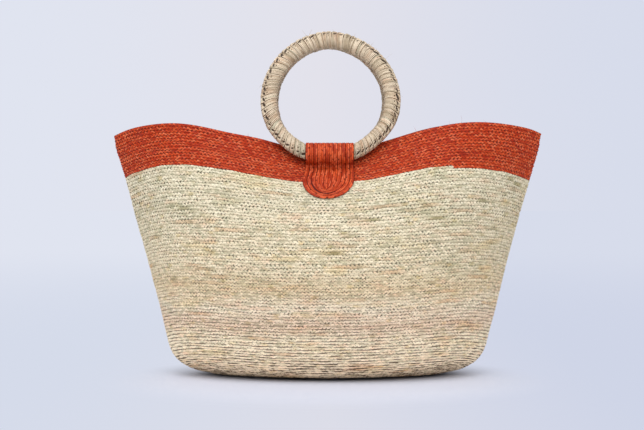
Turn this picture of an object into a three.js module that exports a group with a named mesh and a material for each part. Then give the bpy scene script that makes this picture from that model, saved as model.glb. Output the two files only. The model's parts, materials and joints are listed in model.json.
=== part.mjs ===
import * as THREE from 'three';

// Palm leaf tote with two wrapped ring handles.
// Millimetres and degrees, z up. The origin lies under the middle of the base, on the surface it stands on.
// The length of the bag runs along x and its front faces -y.

// The braid that the bag is sewn from, laid edge to edge in level rows
const rowPitch = 3.41;
const braidThickness = 2.8;
const wallRows = 84;
const dyedRows = 14;

// The oval base, and how the ends and the two faces lean on their way up (outwards is positive)
const baseHalfLength = 127.9;
const baseHalfWidth = 49.7;
const endTurnArc = 57.3;
const faceTurnArc = 32;
const endLeanLow = 12.5;
const endLeanHigh = 17;
const faceLeanLow = 22.8;
const faceLeanRim = -23.2;
const faceTurnStart = 0.162;

// The outline of a row: an oval at the base that draws out to pointed ends and a waist at the rim
const outlinePowerLow = 2;
const outlinePowerHigh = 2.73;
const ovalPower = 0.5;
const tipPower = 1;
const tipStart = 0.1;
const waistDepth = 0.659;
const waistStart = 0.45;
const waistPower = 1.6;
const waistSpread = 160;

// The ring handles: a hoop, and the palm strip wound round it from tab to tab
const ringRadius = 65.2;
const hoopRadius = 6.2;
const wrapRadius = 8.8;
const wrapTurns = 61;
const wrapGroove = 0.7;
const knotHeight = 0.8;
const handleShift = 2;

// The dyed tabs: a strap folded over the hoop and over the rim, with a round tongue on each side of the wall
const strapThickness = 2;
const loopHalfWidth = 24.8;
const tongueHalfWidth = 26.5;
const tongueLength = 71;
const innerTongueLength = 60;
const creaseRadius = 3;
const hingeBelowRim = 17;

// Clearances between neighbours
const seamGap = 0.3;
const wrapEndGap = 0.6;
const hoopPlay = 0.4;
const ringRestGap = 0.6;

// Facets
const stations = 61;
const outlineSteps = 400;
const columnStep = 4;
const naturalSteps = 16;
const lowRowCrowding = 1.35;
const dyedSteps = 4;
const tubeSides = 8;
const boreSteps = 24;
const strapColumns = 7;
const tongueFirstAngle = 10;

const degree = Math.PI / 180;

function mix(from, to, share) {
  return from + (to - from) * share;
}

function ease(from, to, value) {
  const share = Math.min(1, Math.max(0, (value - from) / (to - from)));
  return share * share * (3 - 2 * share);
}

function sampleAt(table, key, value, wanted) {
  // reads table[wanted] where table[key], which rises along the list, reaches value
  let low = 0;
  let high = table.length - 1;
  while (high - low > 1) {
    const middle = Math.floor((low + high) / 2);
    if (table[middle][key] > value) high = middle;
    else low = middle;
  }
  const share = (value - table[low][key]) / (table[high][key] - table[low][key]);
  return mix(table[low][wanted], table[high][wanted], Math.min(1, Math.max(0, share)));
}

// A quarter of a row seen from above, from the middle of the face (x = 0) to the pointed end (y = 0)
function rowOutline(halfLength, halfWidth, share) {
  const outlinePower = mix(outlinePowerLow, outlinePowerHigh, share);
  const edgePower = mix(ovalPower, tipPower, ease(tipStart, 1, share));
  const waist = waistDepth * Math.max(0, (share - waistStart) / (1 - waistStart)) ** waistPower;
  const fine = [];
  for (let i = 0; i < outlineSteps; i += 1) {
    const x = halfLength * (1 - (1 - i / (outlineSteps - 1)) ** 2);
    const reach = Math.max(0, 1 - (x / halfLength) ** outlinePower);
    const y = halfWidth * reach ** edgePower * (1 - waist * Math.exp(-((x / waistSpread) ** 2)));
    const last = fine[i - 1];
    const length = last ? last.length + Math.hypot(x - last.x, y - last.y) : 0;
    fine.push({ x, y, length });
  }
  const whole = fine[outlineSteps - 1].length;
  const outline = [];
  for (let i = 0; i < stations; i += 1) {
    const length = (whole * i) / (stations - 1);
    outline.push({ x: sampleAt(fine, 'length', length, 'x'), y: sampleAt(fine, 'length', length, 'y'), z: 0 });
  }
  return outline;
}

// Each new row stands one pitch from the row below it, measured square to the row:
// what the outline doesn't move sideways, the row gains in height
function growRows() {
  const slant = wallRows * rowPitch;
  let halfLength = baseHalfLength;
  let halfWidth = baseHalfWidth;
  const rows = [rowOutline(halfLength, halfWidth, 0)];
  for (let i = 1; i <= wallRows; i += 1) {
    const arc = (i - 0.5) * rowPitch;
    const endLean = mix(endLeanLow, endLeanHigh, arc / slant);
    const faceLean = mix(faceLeanLow, faceLeanRim, ease(faceTurnStart, 1, arc / slant));
    halfLength += rowPitch * Math.sin(mix(90, endLean, Math.min(1, arc / endTurnArc)) * degree);
    halfWidth += rowPitch * Math.sin(mix(90, faceLean, Math.min(1, arc / faceTurnArc)) * degree);
    const below = rows[i - 1];
    const row = rowOutline(halfLength, halfWidth, i / wallRows);
    const heights = row.map((point, k) => {
      const before = below[Math.max(0, k - 1)];
      const after = below[Math.min(stations - 1, k + 1)];
      const ends = k === 0 || k === stations - 1;
      const run = Math.hypot(after.x - before.x, after.y - before.y);
      const alongX = ends ? (k === 0 ? 1 : 0) : (after.x - before.x) / run;
      const alongY = ends ? (k === 0 ? 0 : -1) : (after.y - before.y) / run;
      const climb = ends ? 0 : (after.z - before.z) / run;
      const moveX = point.x - below[k].x;
      const moveY = point.y - below[k].y;
      const along = moveX * alongX + moveY * alongY;
      const across = moveY * alongX - moveX * alongY;
      const rise = Math.sqrt(Math.max(0, rowPitch ** 2 - across ** 2) * (1 + climb ** 2));
      return below[k].z + climb * along + rise;
    });
    row.forEach((point, k) => {
      const inner = k > 0 && k < stations - 1;
      point.z = inner ? (heights[k - 1] + 2 * heights[k] + heights[k + 1]) / 4 : heights[k];
    });
    rows.push(row);
  }
  return rows;
}

const rows = growRows();

function stationAt(row, k) {
  const low = Math.min(wallRows - 1, Math.max(0, Math.floor(row)));
  const share = row - low;
  const a = rows[low][k];
  const b = rows[low + 1][k];
  return { x: mix(a.x, b.x, share), y: mix(a.y, b.y, share), z: mix(a.z, b.z, share) + braidThickness / 2 };
}

// The middle of the braid all round one row, anticlockwise from the middle of the front
function rowLoop(row) {
  const quarter = [];
  for (let k = 0; k < stations; k += columnStep) quarter.push(stationAt(row, k));
  const last = quarter.length - 1;
  const loop = [];
  for (let k = 0; k < last; k += 1) loop.push([quarter[k], 1, -1]);
  for (let k = last; k > 0; k -= 1) loop.push([quarter[k], 1, 1]);
  for (let k = 0; k < last; k += 1) loop.push([quarter[k], -1, 1]);
  for (let k = last; k > 0; k -= 1) loop.push([quarter[k], -1, -1]);
  return loop.map(([point, sideX, sideY]) => new THREE.Vector3(sideX * point.x, sideY * point.y, point.z));
}

function rowNormals(row) {
  const loop = rowLoop(row);
  if (row === 0) return loop.map(() => new THREE.Vector3(0, 0, -1));
  const lower = rowLoop(Math.max(0, row - 0.5));
  const upper = rowLoop(Math.min(wallRows, row + 0.5));
  const count = loop.length;
  return loop.map((point, k) => {
    const along = loop[(k + 1) % count].clone().sub(loop[(k + count - 1) % count]);
    const up = upper[k].clone().sub(lower[k]);
    return along.cross(up).normalize();
  });
}

// A solid through a row of rings with equal numbers of points: the last ring joins the first, or both ends
// are closed across, point to facing point
function solidThroughRings(rings, closed) {
  const count = rings[0].length;
  const positions = rings.flat().flatMap((point) => [point.x, point.y, point.z]);
  const index = [];
  const spans = closed ? rings.length : rings.length - 1;
  for (let i = 0; i < spans; i += 1) {
    const here = i * count;
    const next = ((i + 1) % rings.length) * count;
    for (let k = 0; k < count; k += 1) {
      const beside = (k + 1) % count;
      index.push(here + k, here + beside, next + beside, here + k, next + beside, next + k);
    }
  }
  if (!closed) {
    const last = (rings.length - 1) * count;
    for (let k = 0; k < count / 2 - 1; k += 1) {
      const facing = count - 1 - k;
      index.push(k + 1, k, facing, k + 1, facing, facing - 1);
      index.push(last + k, last + k + 1, last + facing - 1, last + k, last + facing - 1, last + facing);
    }
  }
  const geometry = new THREE.BufferGeometry();
  geometry.setAttribute('position', new THREE.Float32BufferAttribute(positions, 3));
  geometry.setIndex(index);
  return signedVolume(geometry) < 0 ? turnedOut(geometry) : geometry;
}

function signedVolume(geometry) {
  const position = geometry.getAttribute('position');
  const corner = [new THREE.Vector3(), new THREE.Vector3(), new THREE.Vector3()];
  let volume = 0;
  for (let i = 0; i < geometry.index.count; i += 3) {
    corner.forEach((point, k) => point.fromBufferAttribute(position, geometry.index.getX(i + k)));
    volume += corner[0].dot(corner[1].clone().cross(corner[2])) / 6;
  }
  return volume;
}

function turnedOut(geometry) {
  const index = Array.from(geometry.index.array);
  for (let i = 0; i < index.length; i += 3) {
    [index[i + 1], index[i + 2]] = [index[i + 2], index[i + 1]];
  }
  geometry.setIndex(index);
  return geometry;
}

function mirroredToBack(geometry) {
  return turnedOut(geometry.clone().scale(1, -1, 1));
}

// The wall through its facet rows: its outer face on the way up and its inner face on the way down, all round
function wallThrough(facets) {
  const outer = [];
  const inner = [];
  for (const row of facets) {
    const loop = rowLoop(row);
    const normals = rowNormals(row);
    outer.push(loop.map((point, k) => point.clone().addScaledVector(normals[k], braidThickness / 2)));
    inner.unshift(loop.map((point, k) => point.clone().addScaledVector(normals[k], -braidThickness / 2)));
  }
  return solidThroughRings([...outer, ...inner], true);
}

// The flat oval that the braid is first coiled into, up to the first row of the wall
function baseCoil() {
  const loop = rowLoop(0);
  const count = loop.length;
  const edge = loop.map((point, k) => {
    const along = loop[(k + 1) % count].clone().sub(loop[(k + count - 1) % count]).normalize();
    return new THREE.Vector2(point.x - seamGap * along.y, point.y + seamGap * along.x);
  });
  return new THREE.ExtrudeGeometry(new THREE.Shape(edge), { depth: braidThickness, bevelEnabled: false });
}

// The rows at which the two stretches of the wall have their facets
const naturalRows = wallRows - dyedRows;
const dyedFrom = naturalRows + seamGap / rowPitch;

function facetRows(fromRow, toRow, steps, crowding) {
  return Array.from({ length: steps + 1 }, (unused, i) => mix(fromRow, toRow, (i / steps) ** crowding));
}

const naturalFacets = facetRows(0, naturalRows, naturalSteps, lowRowCrowding);
const dyedFacets = facetRows(dyedFrom, wallRows, dyedSteps, 1);
const allFacets = [...naturalFacets, ...dyedFacets];

// The front wall cut lengthwise at one x: a point on the middle of the braid, its way up and its way out
function wallProfile(row, x) {
  const place = (at) => {
    const next = Math.max(1, allFacets.findIndex((facet) => facet >= at));
    const ends = [allFacets[next - 1], allFacets[next]].map((facet) => {
      const columns = [];
      for (let k = 0; k < stations; k += columnStep) columns.push(stationAt(facet, k));
      return new THREE.Vector2(-sampleAt(columns, 'x', Math.abs(x), 'y'), sampleAt(columns, 'x', Math.abs(x), 'z'));
    });
    return ends[0].lerp(ends[1], (at - allFacets[next - 1]) / (allFacets[next] - allFacets[next - 1]));
  };
  const up = place(Math.min(wallRows, row + 0.5)).sub(place(row - 0.5)).normalize();
  return { point: place(row), out: new THREE.Vector2(-up.y, up.x) };
}

// How far the hoop reaches from the hinge axis inside its tab. The axis lies a little above the lowest point
// of the hoop's middle line, so that the curved hoop turns in the smallest round tunnel
const hoopRise = ringRadius - Math.sqrt((ringRadius - hoopRadius) ** 2 - (loopHalfWidth + wrapEndGap) ** 2);
const axisOffset = (hoopRise - hoopRadius) / 2;
const tunnelRadius = hoopRadius + axisOffset + hoopPlay;
const strapMiddle = strapThickness / 2;
const strapOffset = braidThickness / 2 + seamGap + strapMiddle;
const loopRadius = tunnelRadius + strapMiddle;

// The hinge axis stands off the wall by the tunnel, the strap and the seam
const hingeFoot = wallProfile(wallRows - hingeBelowRim / rowPitch, handleShift);
const hinge = hingeFoot.point.clone().addScaledVector(hingeFoot.out, strapOffset + loopRadius);

// Each ring leans back until it meets its twin over the middle of the bag
const ringTop = 2 * ringRadius - axisOffset;
const ringLean = Math.asin((-hinge.x - wrapRadius - ringRestGap / 2) / ringTop);

function arcSpots(centre, radius, fromAngle, toAngle, steps, turn) {
  const spots = [];
  for (let i = 0; i <= steps; i += 1) {
    const angle = mix(fromAngle, toAngle, i / steps);
    const out = new THREE.Vector2(Math.cos(angle), Math.sin(angle));
    spots.push({ point: centre.clone().addScaledVector(out, radius), out: out.multiplyScalar(turn) });
  }
  return spots;
}

// Where the outer tongue leaves the wall: the crease's arc touches the wall's offset line and the loop
function creaseRow(x) {
  let low = wallRows - 2 * loopRadius / rowPitch - hingeBelowRim / rowPitch;
  let high = wallRows - hingeBelowRim / rowPitch;
  for (let i = 0; i < 40; i += 1) {
    const row = (low + high) / 2;
    const foot = wallProfile(row, x);
    const centre = foot.point.clone().addScaledVector(foot.out, strapOffset + creaseRadius);
    if (centre.distanceTo(hinge) > loopRadius + creaseRadius) low = row;
    else high = row;
  }
  return (low + high) / 2;
}

// The fold of the strap at one x, from the crease over the hoop and the rim to the inner side of the wall
function foldSpots(x) {
  const foot = wallProfile(creaseRow(x), x);
  const crease = foot.point.clone().addScaledVector(foot.out, strapOffset + creaseRadius);
  const awayFromWall = Math.atan2(-foot.out.y, -foot.out.x);
  const toLoop = Math.atan2(hinge.y - crease.y, hinge.x - crease.x);
  const rim = wallProfile(wallRows, x);
  const reach = rim.point.clone().sub(hinge);
  const lift = Math.acos((loopRadius - strapOffset) / reach.length());
  const leave = Math.atan2(reach.y, reach.x) + lift;
  const inward = Math.atan2(-rim.out.y, -rim.out.x);
  const fullTurn = 2 * Math.PI;
  const creaseEnd = toLoop < awayFromWall ? toLoop + fullTurn : toLoop;
  const loopStart = creaseEnd - Math.PI < leave ? creaseEnd + Math.PI : creaseEnd - Math.PI;
  return [
    ...arcSpots(crease, creaseRadius, awayFromWall, creaseEnd, 3, -1),
    ...arcSpots(hinge, loopRadius, loopStart, leave, 10, 1).slice(1),
    ...arcSpots(rim.point, strapOffset, leave, inward, 4, 1),
  ];
}

// A tongue's stations: its distance from the rim along the wall and its half width, rounded at the free end
function tongueStations(length, halfWidth, straightEnd, endHalfWidth) {
  const list = [];
  for (let i = 0; i <= 5; i += 1) {
    const angle = mix(tongueFirstAngle, 90, i / 5) * degree;
    list.push({ down: length - halfWidth * (1 - Math.cos(angle)), half: halfWidth * Math.sin(angle) });
  }
  const roundEnd = length - halfWidth;
  list.push({ down: mix(roundEnd, straightEnd, 0.5), half: mix(halfWidth, endHalfWidth, 0.5) });
  return list;
}

function tabGeometry() {
  const creaseDown = (wallRows - creaseRow(0)) * rowPitch;
  const outside = tongueStations(tongueLength, tongueHalfWidth, creaseDown, loopHalfWidth);
  const inside = tongueStations(innerTongueLength, loopHalfWidth, 0, loopHalfWidth).reverse();
  const columns = [];
  for (let k = 0; k <= strapColumns; k += 1) {
    const across = mix(-1, 1, k / strapColumns);
    const onWall = (side) => ({ down, half }) => {
      const x = handleShift + across * half;
      const foot = wallProfile(wallRows - down / rowPitch, x);
      const out = foot.out.multiplyScalar(side);
      return { x, out, point: foot.point.addScaledVector(out, strapOffset) };
    };
    const x = handleShift + across * loopHalfWidth;
    const fold = foldSpots(x).map((spot) => ({ x, ...spot }));
    columns.push([...outside.map(onWall(1)), ...fold, ...inside.map(onWall(-1))]);
  }
  const rings = columns[0].map((first, i) => {
    const faceAt = (side) => columns.map((column) => {
      const { x, point, out } = column[i];
      return new THREE.Vector3(x, point.x + side * strapMiddle * out.x, point.y + side * strapMiddle * out.y);
    });
    return [...faceAt(1), ...faceAt(-1).reverse()];
  });
  return solidThroughRings(rings, false);
}

// One round section of a ring, built about the hinge axis with the ring standing up in the xz plane.
// share runs from one side of the tab (0) round to the other (1), and outside that range through the tab.
// The sections turn from square to x at the tab to square to the ring at the top
function ringSection(share, radiusAt) {
  const section = [];
  for (let k = 0; k < tubeSides; k += 1) {
    const side = (2 * Math.PI * k) / tubeSides;
    const radius = radiusAt(side);
    const reach = ringRadius + radius * Math.cos(side);
    const tabEdge = Math.asin((loopHalfWidth + wrapEndGap) / reach);
    const turn = mix(tabEdge, 2 * Math.PI - tabEdge, share);
    const inTab = share < 0 ? tabEdge * (1 + 2 * share) : turn;
    section.push(new THREE.Vector3(
      -reach * Math.sin(inTab),
      radius * Math.sin(side),
      ringRadius - axisOffset - reach * Math.cos(inTab),
    ));
  }
  return section;
}

// The hoop follows the bore's sections, and passes through the tab in four steps
function hoopGeometry() {
  const sections = [];
  for (let i = 0; i <= boreSteps; i += 1) sections.push(ringSection(i / boreSteps, () => hoopRadius));
  for (let i = 1; i < 4; i += 1) sections.push(ringSection(-1 + i / 4, () => hoopRadius));
  return solidThroughRings(sections, true);
}

// The palm strip wound round the hoop: each turn is a ridge and a groove, with a hitch on the outer edge
function wrapGeometry() {
  const sections = [];
  const hitch = (side) => knotHeight * Math.max(0, Math.cos(side)) ** 6;
  for (let i = 0; i < wrapTurns; i += 1) {
    const low = (i + 0.1) / wrapTurns;
    const high = (i + 0.55) / wrapTurns;
    sections.push(ringSection(i === 0 ? 0 : low, () => wrapRadius - wrapGroove));
    sections.push(ringSection(high, (side) => wrapRadius + hitch(side)));
  }
  sections.push(ringSection(1, () => wrapRadius - wrapGroove));
  for (let i = boreSteps; i >= 0; i -= 1) sections.push(ringSection(i / boreSteps, () => hoopRadius + seamGap));
  return solidThroughRings(sections, true);
}

function palm(colour, roughness) {
  return new THREE.MeshStandardMaterial({ color: colour, roughness, metalness: 0 });
}

const naturalPalm = palm(0xcfc3a0, 0.8);
const dyedPalm = palm(0xb8401f, 0.75);
const wrapPalm = palm(0xd2bd97, 0.7);
const hoopWood = palm(0xa9804f, 0.7);

function piece(name, geometry, material) {
  const mesh = new THREE.Mesh(geometry, material);
  mesh.name = name;
  return mesh;
}

function ringHandle(side, name) {
  const ring = new THREE.Group();
  ring.position.set(handleShift, side * -hinge.x, hinge.y);
  ring.rotation.x = side * ringLean;
  ring.add(piece(`${name}_ring_hoop`, hoopGeometry(), hoopWood));
  ring.add(piece(`${name}_ring_wrap`, wrapGeometry(), wrapPalm));
  return ring;
}

const frontTab = tabGeometry();

const bag = new THREE.Group();
bag.add(piece('base_coil', baseCoil(), naturalPalm));
bag.add(piece('natural_wall', wallThrough(naturalFacets), naturalPalm));
bag.add(piece('dyed_band', wallThrough(dyedFacets), dyedPalm));
bag.add(piece('front_tab', frontTab, dyedPalm));
bag.add(piece('back_tab', mirroredToBack(frontTab), dyedPalm));

const tote = new THREE.Group();
tote.add(bag, ringHandle(-1, 'front'), ringHandle(1, 'back'));

console.log('hinge axis y', hinge.x.toFixed(2), 'z', hinge.y.toFixed(2), 'lean', (ringLean / degree).toFixed(2));

export default tote;
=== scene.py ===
# Palm leaf tote: a braid of palm leaf sewn into a bag, with a dyed rim and two wrapped ring handles.
# Metres, z up. The length of the bag runs along x and its front faces -y.
import json
import math

import bpy
import numpy as np
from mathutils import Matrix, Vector


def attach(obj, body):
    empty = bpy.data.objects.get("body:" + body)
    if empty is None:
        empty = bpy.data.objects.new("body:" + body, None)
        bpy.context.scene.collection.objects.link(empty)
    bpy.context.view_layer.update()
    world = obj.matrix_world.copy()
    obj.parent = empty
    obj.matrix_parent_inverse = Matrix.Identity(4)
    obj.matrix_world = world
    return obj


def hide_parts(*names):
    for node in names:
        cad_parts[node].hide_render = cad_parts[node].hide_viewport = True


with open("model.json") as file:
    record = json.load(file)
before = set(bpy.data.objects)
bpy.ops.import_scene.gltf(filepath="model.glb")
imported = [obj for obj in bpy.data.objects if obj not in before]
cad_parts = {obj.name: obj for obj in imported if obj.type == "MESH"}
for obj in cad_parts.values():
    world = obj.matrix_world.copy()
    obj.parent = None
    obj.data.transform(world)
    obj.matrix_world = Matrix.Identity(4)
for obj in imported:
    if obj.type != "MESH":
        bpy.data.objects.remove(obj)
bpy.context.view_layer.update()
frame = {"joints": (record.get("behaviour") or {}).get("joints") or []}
print("frame loaded")

mm = 0.001
degree = math.pi / 180
rng = np.random.default_rng(11)


def mix(low, high, share):
    return low + (high - low) * share


def ease(low, high, value):
    share = np.clip((value - low) / (high - low), 0, 1)
    return share * share * (3 - 2 * share)


def hill(value, reach, power=2):
    # 1 at 0 and next to nothing beyond the reach
    return np.exp(-((value / reach) ** power))


def unit(vectors):
    return vectors / np.maximum(np.linalg.norm(vectors, axis=-1, keepdims=True), 1e-12)


def fromEnds(share):
    return np.minimum(share, 1 - share)


def together(*values):
    return np.stack(np.broadcast_arrays(*values), -1)


def lengthAlong(line):
    return np.concatenate([[0], np.cumsum(np.linalg.norm(np.diff(line, axis=0), axis=1))])


def readLine(line, length, wanted):
    return np.stack([np.interp(wanted, length, values) for values in line.T], -1)


def resampled(line, count):
    length = lengthAlong(line)
    return readLine(line, length, np.linspace(0, length[-1], count))


def readTable(field, i, j):
    # between the four nearest entries; past the last column comes the first
    low, left = np.floor(i).astype(int), np.floor(j).astype(int)
    up, on = (i - low)[..., None], (j - left)[..., None]
    left, right = left % field.shape[1], (left + 1) % field.shape[1]
    lower = field[low, left] * (1 - on) + field[low, right] * on
    upper = field[low + 1, left] * (1 - on) + field[low + 1, right] * on
    return lower * (1 - up) + upper * up


def rolled(*size, limit=1.5):
    # random values about 0, none of them far out
    return rng.normal(size=size).clip(-limit, limit)


# The form of the bag: the rows of braid grow from the oval base to the pinched rim
bag = {
    "pitch": 3.41 * mm,
    "thickness": 2.8 * mm,
    "rows": 84,
    "baseRows": 14,
    "baseHalfLength": 127.9 * mm,
    "baseHalfWidth": 49.7 * mm,
    "endTurnArc": 57.3 * mm,
    "faceTurnArc": 32 * mm,
    "endLean": (12.5, 17),
    "faceLean": (22.8, -23.2),
    "faceTurnStart": 0.162,
    "outlinePower": (2, 2.73),
    "edgePower": (0.5, 1),
    "tipStart": 0.1,
    "waistDepth": 0.659,
    "waistStart": 0.45,
    "waistPower": 1.6,
    "waistSpread": 160 * mm,
    "stations": 61,
    "outlineSteps": 400,
    # where the sewn wall has settled, in millimetres: x, reach along x, first and last row, and how far up
    "settled": [
        (-108, 44, 68, 84, -3.6),
        (-140, 60, 48, 68, 1.3),
        (115, 60, 48, 68, 1.4),
        (108, 60, 68, 84, -1.0),
        (-72, 26, 74, 84, 1.9),
        (-175, 50, 56, 70, 2.6),
        (-175, 50, 70, 84, -2.6),
        (140, 55, 56, 70, 1.3),
        (140, 55, 70, 84, -1.3),
        (-214, 22, 76, 84, 1.0),
        (222, 20, 76, 84, 1.7),
    ],
    # the tips of the mouth roll in: over which rows, from and to which x, and how far
    "tipRoll": (79, 84, 185 * mm, 225 * mm, 2.2 * mm),
    "footLift": 2.4 * mm,  # how far the edge of the foot stands off the ground
    "footRows": (-8, 0, 4, 14),  # the rows over which it rises and dies away
    "waver": 0.45 * mm,  # how far the sewn wall wanders off its true form
    "calm": (80 * mm, 58, 72),  # the rings lie against the wall here: reach along x and the rows
    "rowWaver": 0.12,  # how far a row wanders up and down, in rows
    # the waves of both: size, how fast they run upwards, how many go round the bag, and phase
    "wallWaves": [(0.5, 0.09, 3, 0.4), (0.4, 0.15, 5, 2.1), (0.3, 0.31, 9, 4.0), (0.2, 0.22, 16, 1.2)],
    "rowWaves": [(0.5, 0.9, 4, 0.3), (0.5, 1.7, 11, 1.9), (0.5, 2.3, 23, 0.8), (0.4, 2.9, 37, 5.0)],
    "wallWavesFrom": (4, 30),  # the rows over which the waves of the wall rise
    "rowWavesFrom": (2, 10),
    "rimRows": 3,  # the rows below the rim over which the waves of a row die away
}
quarter = bag["stations"] - 1
around = 4 * quarter  # stations all round a row, anticlockwise from the middle of the front
bothSides = (("front", False), ("back", True))  # the back is laid like the front and then mirrored


def rowOutline(halfLength, halfWidth, share):
    outlinePower = mix(*bag["outlinePower"], share)
    edgePower = mix(*bag["edgePower"], ease(bag["tipStart"], 1, share))
    rise = max(0, (share - bag["waistStart"]) / (1 - bag["waistStart"]))
    waist = bag["waistDepth"] * rise ** bag["waistPower"]
    x = halfLength * (1 - (1 - np.linspace(0, 1, bag["outlineSteps"])) ** 2)
    reach = np.maximum(0, 1 - (x / halfLength) ** outlinePower)
    y = halfWidth * reach**edgePower * (1 - waist * hill(x, bag["waistSpread"]))
    return resampled(np.stack([x, y, 0 * x], 1), bag["stations"])


def growRows():
    # each row stands one pitch from the row below, measured square to the row
    pitch, count = bag["pitch"], bag["rows"]
    halfLength, halfWidth = bag["baseHalfLength"], bag["baseHalfWidth"]
    inwards = pitch * np.arange(bag["baseRows"], -1, -1)
    rows = [rowOutline(halfLength - inset, halfWidth - inset, 0) for inset in inwards]
    for i in range(1, count + 1):
        arc = (i - 0.5) * pitch
        endLean = mix(*bag["endLean"], arc / (count * pitch))
        faceLean = mix(*bag["faceLean"], ease(bag["faceTurnStart"], 1, arc / (count * pitch)))
        halfLength += pitch * math.sin(mix(90, endLean, min(1, arc / bag["endTurnArc"])) * degree)
        halfWidth += pitch * math.sin(mix(90, faceLean, min(1, arc / bag["faceTurnArc"])) * degree)
        below, row = rows[-1], rowOutline(halfLength, halfWidth, i / count)
        run = np.zeros((bag["stations"], 3))
        run[1:-1] = below[2:] - below[:-2]
        flat = np.maximum(np.hypot(run[:, 0], run[:, 1]), 1e-12)
        alongX, alongY, climb = run[:, 0] / flat, run[:, 1] / flat, run[:, 2] / flat
        alongX[0], alongY[-1] = 1, -1
        move = row - below
        along = move[:, 0] * alongX + move[:, 1] * alongY
        across = move[:, 1] * alongX - move[:, 0] * alongY
        rise = np.sqrt(np.maximum(0, pitch**2 - across**2) * (1 + climb**2))
        heights = below[:, 2] + climb * along + rise
        row[:, 2] = heights
        row[1:-1, 2] = (heights[:-2] + 2 * heights[1:-1] + heights[2:]) / 4
        rows.append(row)
    return rows


def allRound(row):
    parts = [row[:-1] * (1, -1, 1), row[:0:-1], row[:-1] * (-1, 1, 1), row[:0:-1] * (-1, -1, 1)]
    return np.concatenate(parts) + (0, 0, bag["thickness"] / 2)


def gridNormals(grid):
    along = np.roll(grid, -1, 1) - np.roll(grid, 1, 1)
    return unit(np.cross(along, np.gradient(grid, axis=0)))


def slowWaves(rows, stations, pieces):
    # a smooth wandering that closes on itself all round the bag
    turns = 2 * math.pi * stations / around
    return sum(size * np.sin(upward * rows + count * turns + phase) for size, upward, count, phase in pieces)


def bagGrid():
    grid = np.stack([allRound(row) for row in growRows()])
    rowAt, stationAt = np.meshgrid(np.arange(len(grid)) - bag["baseRows"], np.arange(around), indexing="ij")
    reach, first, last = bag["calm"]
    calm = hill(grid[..., 0], reach, 4) * ease(first, last, rowAt)
    standing = ease(*bag["wallWavesFrom"], rowAt) * (1 - calm)
    for x, reach, first, last, up in bag["settled"]:
        near = hill(grid[..., 0] - x * mm, reach * mm)
        grid[..., 2] += up * mm * near * ease(first, last, rowAt)
    first, last, inner, outer, inwards = bag["tipRoll"]
    atTip = ease(first, last, rowAt) * ease(inner, outer, np.abs(grid[..., 0]))
    grid[..., 0] -= np.sign(grid[..., 0]) * inwards * atTip
    first, last, gone, over = bag["footRows"]
    grid[..., 2] += bag["footLift"] * ease(first, last, rowAt) * (1 - ease(gone, over, rowAt))
    waver = bag["waver"] * standing * slowWaves(rowAt, stationAt, bag["wallWaves"])
    return grid + gridNormals(grid) * waver[..., None]


wallGrid = bagGrid()
wallNormals = gridNormals(wallGrid)


def readGrid(field, row, station):
    return readTable(field, np.clip(row + bag["baseRows"], 0, len(field) - 1.001), station)


def wallSurface(station, row):
    # the middle of the sewn wall and its way out. Past the rim the surface goes on at the same lean
    top = bag["rows"] - 0.01
    over = np.maximum(0, row - top)[..., None]
    point = readGrid(wallGrid, np.minimum(row, top), station)
    rim, below = [readGrid(wallGrid, np.full_like(row, at), station) for at in (top, top - 1)]
    return point + over * (rim - below), unit(readGrid(wallNormals, row, station))


# Shader helpers: they take and give the outputs of nodes
def colour(red, green, blue):
    # from the 0 to 255 of a picture to the linear values that a shader takes
    values = [v / 255 for v in (red, green, blue)]
    return [v / 12.92 if v <= 0.04045 else ((v + 0.055) / 1.055) ** 2.4 for v in values] + [1]


def addNode(tree, kind, inputs=None, **settings):
    made = tree.nodes.new("ShaderNode" + kind)
    for key, value in settings.items():
        setattr(made, key, value)
    for key, value in (inputs or {}).items():
        if isinstance(value, bpy.types.NodeSocket):
            tree.links.new(value, made.inputs[key])
        else:
            made.inputs[key].default_value = value
    return made


def treeOf(*values):
    return next(value.id_data for value in values if isinstance(value, bpy.types.NodeSocket))


def maths(operation, *values):
    return addNode(treeOf(*values), "Math", dict(enumerate(values)), operation=operation).outputs[0]


def times(first, second):
    return maths("MULTIPLY", first, second)


def highest(first, *others):
    for other in others:
        first = maths("MAXIMUM", first, other)
    return first


def distance(x, y):
    return maths("SQRT", maths("MULTIPLY_ADD", x, x, times(y, y)))


def toEnd(phase):
    # how far a phase from 0 to 1 is from the nearer end
    return maths("MINIMUM", phase, maths("SUBTRACT", 1.0, phase))


def blend(share, first, second, how="MIX"):
    inputs = {0: share, 6: first, 7: second}
    return addNode(treeOf(share, first, second), "Mix", inputs, data_type="RGBA", blend_type=how).outputs[2]


def toneRamp(value, stops):
    made = addNode(value.id_data, "ValToRGB", {0: value})
    while len(made.color_ramp.elements) < len(stops):
        made.color_ramp.elements.new(0.5)
    for element, (place, tone) in zip(made.color_ramp.elements, stops):
        element.position = place
        element.color = colour(*tone)
    return made.outputs[0]


def spread(value, low, high, toLow=0.0, toHigh=1.0):
    inputs = {0: value, 1: low, 2: high, 3: toLow, 4: toHigh}
    return addNode(value.id_data, "MapRange", inputs, interpolation_type="SMOOTHSTEP").outputs[0]


def vectorOf(x, y=0.0, z=0.0):
    return addNode(treeOf(x, y, z), "CombineXYZ", {0: x, 1: y, 2: z}).outputs[0]


def split(vector):
    return addNode(vector.id_data, "SeparateXYZ", {0: vector}).outputs


def cloud(vector, scale=1.0, detail=2.0):
    inputs = {"Vector": vector, "Scale": scale, "Detail": detail}
    return addNode(vector.id_data, "TexNoise", inputs).outputs[0]


def streaks(first, second, often, detail, third=0.0):
    # a cloud over two values or three, drawn out by how often it changes along the first two
    return cloud(vectorOf(times(first, often[0]), times(second, often[1]), third), 1.0, detail)


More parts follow.
